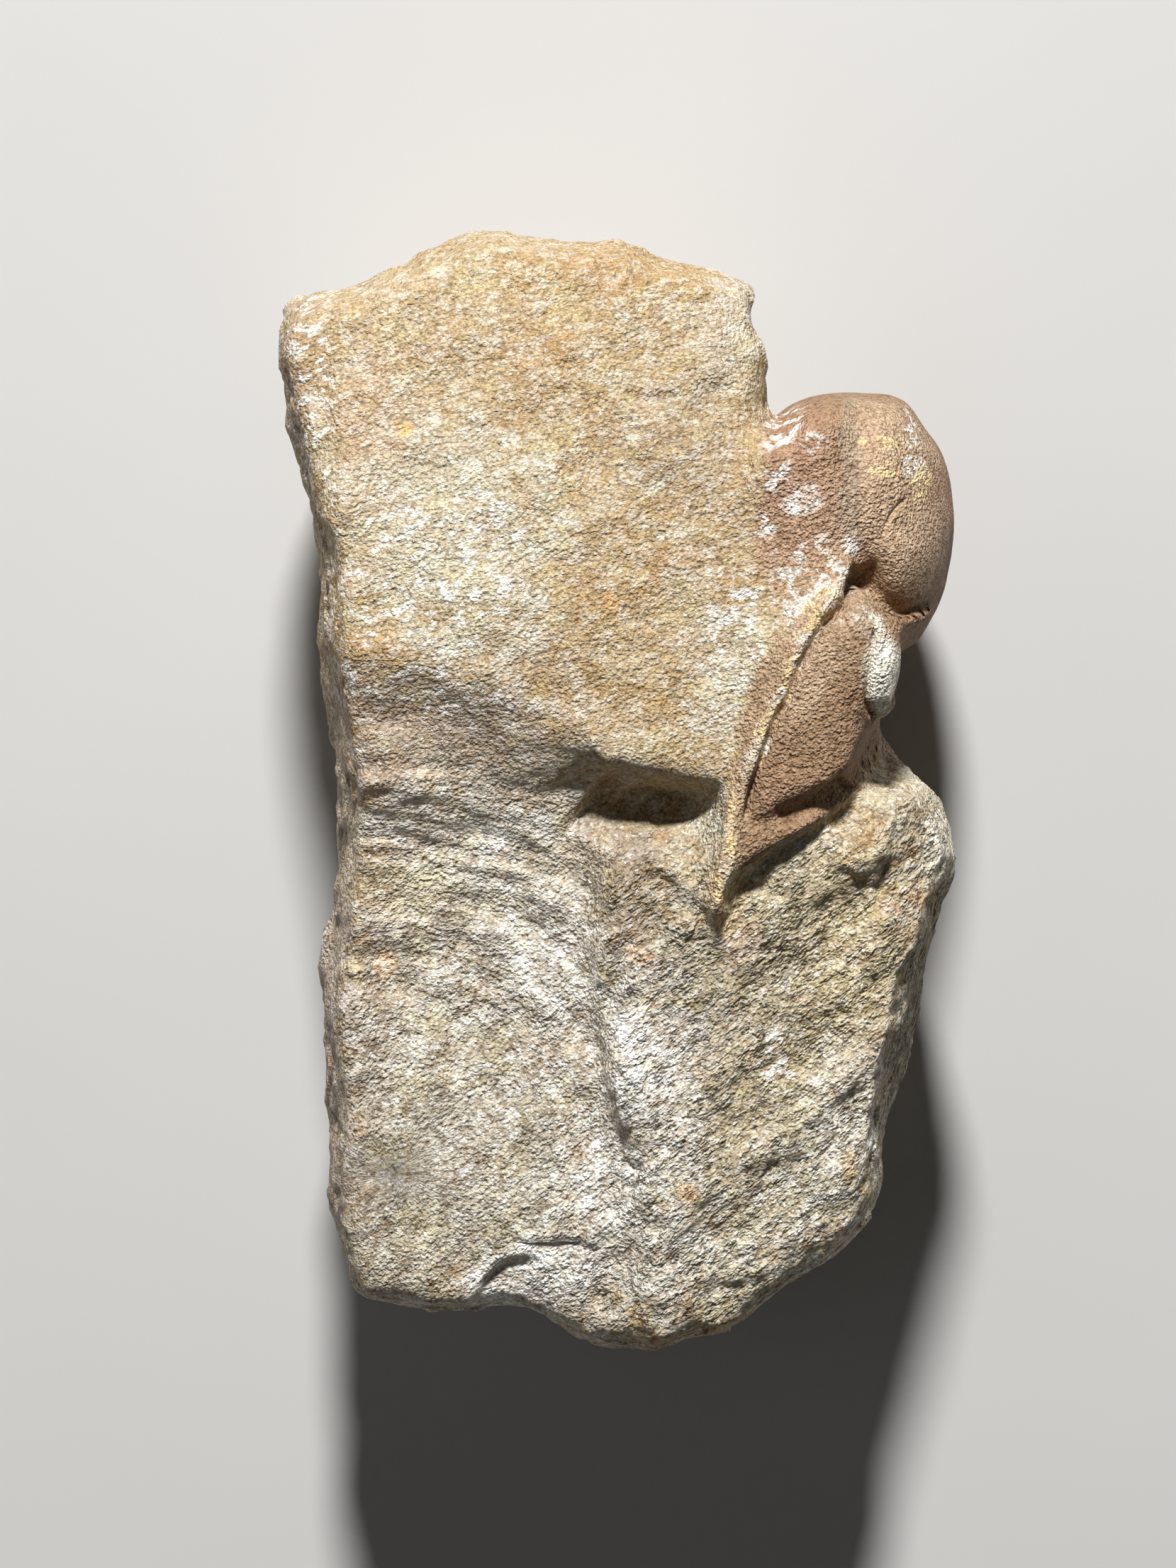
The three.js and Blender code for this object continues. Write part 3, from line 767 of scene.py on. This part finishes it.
class Paint:
    """A material whose nodes are added one by one."""

    def __init__(self, name):
        self.material = bpy.data.materials.new(name)
        self.material.use_nodes = True
        self.tree = self.material.node_tree
        self.tree.nodes.clear()
        self.place = self.scaled(self.node("ShaderNodeTexCoord", output="Object"), 1 / MM)

    def node(self, kind, settings=None, inputs=None, output=0):
        """A new node, whose inputs are signals or constants, as the signal of one of its outputs."""
        node = self.tree.nodes.new(kind)
        for key, value in (settings or {}).items():
            setattr(node, key, value)
        for key, value in (inputs or {}).items():
            if isinstance(value, Signal):
                self.tree.links.new(value.socket, node.inputs[key])
            else:
                node.inputs[key].default_value = value
        return Signal(self, node.outputs[output]) if node.outputs else None

    def math(self, operation, *values):
        return self.node("ShaderNodeMath", {"operation": operation}, dict(enumerate(values)))

    def scaled(self, vector, factor):
        return self.node("ShaderNodeVectorMath", {"operation": "SCALE"}, {"Vector": vector, "Scale": factor})

    def ease(self, value, low, high):
        """Nothing at low and one at high, with a soft rise between them."""
        return self.node(
            "ShaderNodeMapRange", {"interpolation_type": "SMOOTHSTEP"},
            {"Value": value, "From Min": low, "From Max": high, "To Min": 0.0, "To Max": 1.0},
        )

    def mix(self, share, first, second, blend="MIX"):
        """The first colour with this share of the second."""
        first, second = [(*c, 1.0) if isinstance(c, tuple) and len(c) == 3 else c for c in (first, second)]
        return self.node(
            "ShaderNodeMix", {"data_type": "RGBA", "blend_type": blend, "clamp_factor": True},
            {0: share, 6: first, 7: second}, output=2,
        )

    def noise(self, size, detail=2.0, roughness=0.5, place=None, shift=0.0):
        """Noise with patches about `size` mm across."""
        moved = self.node(
            "ShaderNodeVectorMath", {"operation": "ADD"},
            {0: place or self.place, 1: (shift, 2 * shift, 0.5 * shift)},
        )
        return self.node(
            "ShaderNodeTexNoise", {},
            {"Vector": moved, "Scale": 1 / size, "Detail": detail, "Roughness": roughness},
        )

    def cells(self, size, output, place=None):
        """Grains about `size` mm across: the distance from their middles, or a colour for each."""
        return self.node(
            "ShaderNodeTexVoronoi", {}, {"Vector": place or self.place, "Scale": 1 / size}, output
        )

    def crumple(self, size, degrees, stretch):
        """Small tilted planes about `size` across and drawn out slantwise: a height in mm."""
        place = self.scaled(self.drawn_out(degrees, stretch), 1 / size)
        cell = self.node("ShaderNodeTexVoronoi", {}, {"Vector": place, "Scale": 1.0}, "Color")
        tilt = self.node("ShaderNodeVectorMath", {"operation": "SUBTRACT"}, {0: cell, 1: (0.5, 0.5, 0.5)})
        inside = self.node(
            "ShaderNodeVectorMath", {"operation": "SUBTRACT"}, {0: place, 1: cell.output("Position")}
        )
        dot = self.node("ShaderNodeVectorMath", {"operation": "DOT_PRODUCT"}, {0: inside, 1: tilt}, "Value")
        return dot * size

    def unrolled(self, middle, x, y, z):
        """The place in rings round a middle, drawn out along the rings."""
        x, y = x - middle[0], y - middle[1]
        away = self.math("SQRT", x * x + y * y)
        return self.node("ShaderNodeCombineXYZ", {}, {0: self.math("ARCTAN2", y, x) * 9, 1: away, 2: z})

    def drawn_out(self, degrees, stretch):
        """The place turned in plan, and drawn out along its own X."""
        return self.node(
            "ShaderNodeMapping", {"vector_type": "TEXTURE"},
            {"Vector": self.place, "Rotation": (0, 0, math.radians(degrees)), "Scale": (stretch, 1, 1)},
        )

    def attribute(self, name):
        """What was measured at the piece's points under this name."""
        return self.node("ShaderNodeAttribute", {"attribute_name": name}, output="Fac")

    def finish(self, colour, roughness, height):
        """The material with this colour, roughness and height in mm."""
        bump = self.node("ShaderNodeBump", {}, {"Height": height, "Distance": MM, "Strength": 1.0})
        shader = self.node(
            "ShaderNodeBsdfPrincipled", {},
            {"Base Color": colour, "Roughness": roughness, "Normal": bump, "Specular IOR Level": 0.35},
        )
        self.node("ShaderNodeOutputMaterial", {}, {"Surface": shader})
        return self.material


def stained(paint, colour, kind, stains, flecks):
    """The colour under its stains, which are broken into flecks as far as each stain says."""
    for stain, (broken, _) in stains.items():
        share = paint.attribute(kind + stain)
        if broken:
            share = share * (flecks * broken + (1 - broken))
        colour = paint.mix(share, colour, PALETTE[stain])
    return colour


def stone_colour(paint, colours, broad, patchy, mottled):
    """The sandstone's colour without its grains."""
    flecks = paint.ease(paint.noise(0.9, 4, 0.7, place=paint.drawn_out(20, 1.5), shift=2.0), 0.5, 0.58)
    stone = paint.mix(paint.ease(broad, 0.4, 0.62), tuple(colours.tan), tuple(colours.ochre))
    stone = stained(paint, stone, "stone_", STONE_STAINS, flecks)
    stone = paint.mix(paint.ease(patchy, 0.48, 0.68) * 0.45, stone, PALETTE["cream"])
    stone = paint.mix(paint.ease(mottled, 0.52, 0.66) * 0.4, stone, PALETTE["straw"])
    stone = paint.mix(paint.ease(mottled, 0.48, 0.34) * 0.4, stone, PALETTE["fawn"])
    return paint.mix(flecks * 0.25, stone, PALETTE["white"])


def cast_colour(paint, colours, broad, patchy, mottled, eye, y):
    """The cast's colour without its grains, with a pale strip along the crest that is partly a painted
    highlight on the lit ridge, and the eye.
    """
    crumbs = paint.ease(paint.noise(1.1, 4, 0.62, shift=17.0), 0.47, 0.56)
    cast = paint.mix(paint.ease(broad, 0.42, 0.6) * 0.5, tuple(colours.brown), tuple(colours.rust))
    cast = stained(paint, cast, "cast_", CAST_STAINS, crumbs)
    # A pale strip along the crest: the border's yellow and pale colour, together with a painted highlight along
    # the lit ridge.
    crest_strip_and_highlight = 1 - paint.ease(paint.attribute("crest") + (patchy - 0.5) * 3, 0.25, 0.8)
    crest_strip_and_highlight = crest_strip_and_highlight * (paint.ease(y, -1, 3) + paint.ease(y, -4, -7)) * (crumbs * 0.5 + 0.4)
    crest_highlight_colour = paint.mix(paint.ease(mottled, 0.45, 0.52), PALETTE["yellow"], PALETTE["pale"])
    cast = paint.mix(crest_strip_and_highlight, cast, crest_highlight_colour)
    cast = paint.mix(paint.attribute("smear") * (crumbs * 0.6 + 0.2), cast, PALETTE["pale"])
    return paint.mix(eye, cast, tuple(colours.eye))


def fossil_paint(name, colours):
    """The one finish that both pieces share, so that no line shows where they meet."""
    paint = Paint(name)
    x = paint.node("ShaderNodeSeparateXYZ", {}, {0: paint.place})
    y, z = x.output("Y"), x.output("Z")
    broad = paint.noise(9, 3)
    patchy = paint.noise(2.2, 4, 0.6, shift=7.0)
    mottled = paint.noise(3.2, 4, 0.6, shift=13.0)
    eye = paint.attribute("eye")
    in_cast = paint.attribute("seam") + (patchy - 0.5) * 4 + (mottled - 0.5) * 2
    in_cast = paint.ease(in_cast, -0.5, 0.6)
    stone = stone_colour(paint, colours, broad, patchy, mottled)
    cast = cast_colour(paint, colours, broad, patchy, mottled, eye, y)
    colour = paint.mix(in_cast, stone, cast)

    # where the stone is broken, where it is hackly, and where its grain runs in rings
    broken = (1 - paint.ease(y, -3, 4)) * (1 - in_cast)
    hackly = paint.math("MAXIMUM", broken * paint.ease(x, -5, 1), eye * 0.6)
    ringed = broken * (1 - paint.ease(x, -5, 0))

    # grains of sand, a leathery grain, broad bands in the rings, and streaks on the steep side
    round_shell = paint.unrolled(SHELL_MIDDLE, x, y, z)
    sand = 1 - paint.cells(0.2, "Distance")
    pebbles = 1 - paint.cells(0.33, "Distance", place=paint.drawn_out(25, 1.15))
    straight = paint.noise(0.4, 3, 0.7, place=paint.drawn_out(15, 1.4))
    rings = paint.noise(0.45, 3, 0.65, place=round_shell)
    slanted = paint.noise(0.42, 3, 0.7, place=paint.drawn_out(46, 1.8))
    leather = straight + (rings - straight) * ringed + (slanted - straight) * hackly
    bands = paint.noise(1.6, 3, 0.55, place=round_shell, shift=9.0) - 0.5
    wall = paint.attribute("wall") * (1 - in_cast)
    streaks = paint.noise(0.5, 3, 0.6, place=paint.drawn_out(77, 6.0), shift=23.0)

    # creases and crumpled faces
    crease = paint.noise(1.0, 3, 0.6, place=paint.drawn_out(40, 2.4), shift=5.0)
    crease = paint.math("ABSOLUTE", crease - 0.5)
    planes = paint.crumple(1.5, 46, 1.8) * 0.4 + paint.crumple(0.55, 45, 1.5)

    height = sand * (0.09 + in_cast * 0.06) + pebbles * (0.17 + in_cast * 0.03)
    height = height + leather * (0.34 - in_cast * 0.18)
    height = height + planes * (broken * 0.4 + hackly * 0.4)
    height = height + crease * (broken * 0.5 + hackly * 0.5) + streaks * wall * 1.3

    # the grains' own colours with painted shade in the low parts of the fine relief and painted light on its
    # tops, white grains with painted glints, painted shade in the hollows, and worn edges
    # tone follows the sand, pebbles, leather, creases and streaks of the height: painted shade where they are
    # low and painted light where they are high, with broad bands along the rings
    tone = 0.5 * (sand - 0.5) + 0.6 * (pebbles - 0.6) + 1.2 * (leather - 0.5)
    tone = tone + (crease - 0.1) * (broken + hackly)
    tone = tone * (1 + in_cast * 0.5) + (streaks - 0.5) * wall * 2.5 + bands * ringed * 2.6
    grain = paint.cells(0.2, "Color") + paint.cells(0.34, "Color") * 0.8
    grain_and_relief_shade = paint.math("MULTIPLY_ADD", grain, 0.75, 0.1) + tone * 0.8
    colour = paint.mix(1.0, colour, paint.mix(grain_and_relief_shade, DARKEST_GRAIN_AND_SHADE, PALEST_GRAIN_AND_LIGHT), "MULTIPLY")
    # White grains, and painted glints that are strongest on the broken faces.
    white_grains_and_glints = paint.ease(paint.noise(0.35, 2, 0.6, shift=3.0), 0.6, 0.72)
    white_grains_and_glints = white_grains_and_glints * (0.35 + broken * 0.35) * (1 - in_cast * 0.7)
    colour = paint.mix(white_grains_and_glints, colour, PALETTE["white"])
    # Painted shade: the hollows of the body are darkened towards the shadow colour, and its ridges made paler
    # as worn edges.
    hollow_here = paint.attribute("hollow")
    shade = paint.ease(hollow_here, 0.05, 0.35) * (0.4 - in_cast * 0.15)
    colour = paint.mix(shade, colour, PALETTE["shadow"])
    colour = paint.mix(paint.ease(hollow_here, -0.05, -0.3) * 0.25, colour, PALETTE["white"])

    return paint.finish(colour, STONE_ROUGHNESS, height)


# ---------------------------------------------------------------- what a user may change
class FossilShape(bpy.types.PropertyGroup):
    cell: bpy.props.FloatProperty(
        name="Cell", description="Size of the mesh's cells before they are split, in mm",
        default=0.62, min=0.4, max=2,
    )


def colour_setting(name, description, colour):
    """A colour that a user may change, which starts as one of the palette's."""
    return bpy.props.FloatVectorProperty(
        name=name, description=description, default=PALETTE[colour], subtype="COLOR", min=0, max=1
    )


class FossilColours(bpy.types.PropertyGroup):
    tan: colour_setting("Sandstone", "The fresh sandstone", "tan")
    ochre: colour_setting("Ochre sandstone", "The yellower parts of the sandstone", "ochre")
    brown: colour_setting("Cast", "The inner cast of the head", "brown")
    rust: colour_setting("Rusty cast", "The redder parts of the cast", "rust")
    eye: colour_setting("Eye", "The pale eye", "eye")


class FossilStage(bpy.types.PropertyGroup):
    distance: bpy.props.FloatProperty(
        name="Camera distance", description="From the camera to the middle of the block",
        default=0.6, unit="LENGTH", subtype="DISTANCE",
    )
    key: bpy.props.FloatProperty(
        name="Key light", description="Power of the large light beyond the front of the head",
        default=15.5, unit="POWER",
    )
    sky: bpy.props.FloatProperty(
        name="Sky", description="Strength of the even light from all round", default=0.05,
    )


class FOSSIL_OT_stone(bpy.types.Operator):
    """Adds the block of sandstone that the head stands out of"""

    bl_idname = "fossil.stone"
    bl_label = "Block of sandstone"

    def execute(self, context):
        piece = piece_of("sandstone_block", False, context.scene.fossil_shape.cell)
        piece.data.materials.append(fossil_paint("sandstone", context.scene.fossil_colours))
        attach(piece, "root")
        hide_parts("matrix_stone")
        return {"FINISHED"}


class FOSSIL_OT_cast(bpy.types.Operator):
    """Adds the trilobite's head"""

    bl_idname = "fossil.cast"
    bl_label = "Trilobite's head"

    def execute(self, context):
        piece = piece_of("trilobite_cast", True, context.scene.fossil_shape.cell)
        piece.data.materials.append(fossil_paint("fossil_cast", context.scene.fossil_colours))
        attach(piece, "root")
        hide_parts("trilobite_head")
        return {"FINISHED"}


# The stage, in metres: the floor, the lights, and what the camera sees.
FLOOR_HALF = 3
LIGHTS_AIM = (0, 0, 0.03)
KEY_PLACE, KEY_SIZE = (-0.02, 0.68, 0.64), 0.12
FILL_PLACE, FILL_SIZE, FILL_SHARE = (-0.7, -0.1, 0.8), 0.8, 0.03
VIEW_X, VIEW_Y, VIEW_Z = -0.00261, 0.00023, 0.028
VIEW_HEIGHT = 0.1242
SENSOR_MM = 24


def pointed_at(location, target):
    """The rotation of a light or camera at one place that looks at another."""
    return (Vector(target) - Vector(location)).to_track_quat("-Z", "Y").to_euler()


class FOSSIL_OT_stage(bpy.types.Operator):
    """Adds the floor, the lights and the camera"""

    bl_idname = "fossil.stage"
    bl_label = "Floor, lights and camera"

    def execute(self, context):
        scene, settings = context.scene, context.scene.fossil_stage
        floor_shape = bmesh.new()
        bmesh.ops.create_grid(floor_shape, x_segments=1, y_segments=1, size=FLOOR_HALF)
        mesh = bpy.data.meshes.new("floor")
        floor_shape.to_mesh(mesh)
        floor_shape.free()
        floor = bpy.data.objects.new("floor", mesh)
        scene.collection.objects.link(floor)
        paint = Paint("pale_floor")
        mottle = paint.noise(40, 2)
        colour = paint.mix(mottle, (0.50, 0.49, 0.475), (0.54, 0.53, 0.515))
        floor.data.materials.append(paint.finish(colour, 0.7, 0.0))

        for name, place, size, power in (
            ("key_light", KEY_PLACE, KEY_SIZE, settings.key),
            ("fill_light", FILL_PLACE, FILL_SIZE, settings.key * FILL_SHARE),
        ):
            light = bpy.data.lights.new(name, "AREA")
            light.shape, light.size, light.energy = "DISK", size, power
            lamp = bpy.data.objects.new(name, light)
            lamp.location, lamp.rotation_euler = place, pointed_at(place, LIGHTS_AIM)
            scene.collection.objects.link(lamp)

        world = bpy.data.worlds.new("even_light")
        world.use_nodes = True
        background = world.node_tree.nodes["Background"]
        background.inputs["Color"].default_value = (0.95, 0.97, 1, 1)
        background.inputs["Strength"].default_value = settings.sky
        scene.world = world
        scene.view_settings.view_transform = "Standard"

        data = bpy.data.cameras.new("camera")
        data.sensor_fit, data.sensor_height = "VERTICAL", SENSOR_MM
        data.lens = SENSOR_MM * settings.distance / VIEW_HEIGHT
        camera = bpy.data.objects.new("camera", data)
        camera.location = (VIEW_X, VIEW_Y, VIEW_Z + settings.distance)
        scene.collection.objects.link(camera)
        scene.camera = camera
        return {"FINISHED"}


class FOSSIL_PT_panel(bpy.types.Panel):
    """The fossil's pieces and settings"""

    bl_idname = "FOSSIL_PT_panel"
    bl_label = "Fossil trilobite"
    bl_space_type = "VIEW_3D"
    bl_region_type = "UI"
    bl_category = "Fossil"

    def draw(self, context):
        layout, scene = self.layout, context.scene
        for settings in (scene.fossil_shape, scene.fossil_colours, scene.fossil_stage):
            for name in settings.__annotations__:
                layout.prop(settings, name)
        for operator in OPERATORS:
            layout.operator(operator.bl_idname)


OPERATORS = (FOSSIL_OT_stone, FOSSIL_OT_cast, FOSSIL_OT_stage)
CLASSES = (FossilShape, FossilColours, FossilStage, *OPERATORS, FOSSIL_PT_panel)


def register():
    for each in CLASSES:
        bpy.utils.register_class(each)
    bpy.types.Scene.fossil_shape = bpy.props.PointerProperty(type=FossilShape)
    bpy.types.Scene.fossil_colours = bpy.props.PointerProperty(type=FossilColours)
    bpy.types.Scene.fossil_stage = bpy.props.PointerProperty(type=FossilStage)


def unregister():
    del bpy.types.Scene.fossil_stage, bpy.types.Scene.fossil_colours, bpy.types.Scene.fossil_shape
    for each in reversed(CLASSES):
        bpy.utils.unregister_class(each)


def main():
    register()
    bpy.ops.fossil.stone()
    bpy.ops.fossil.cast()
    bpy.ops.fossil.stage()


if __name__ == "__main__":
    main()
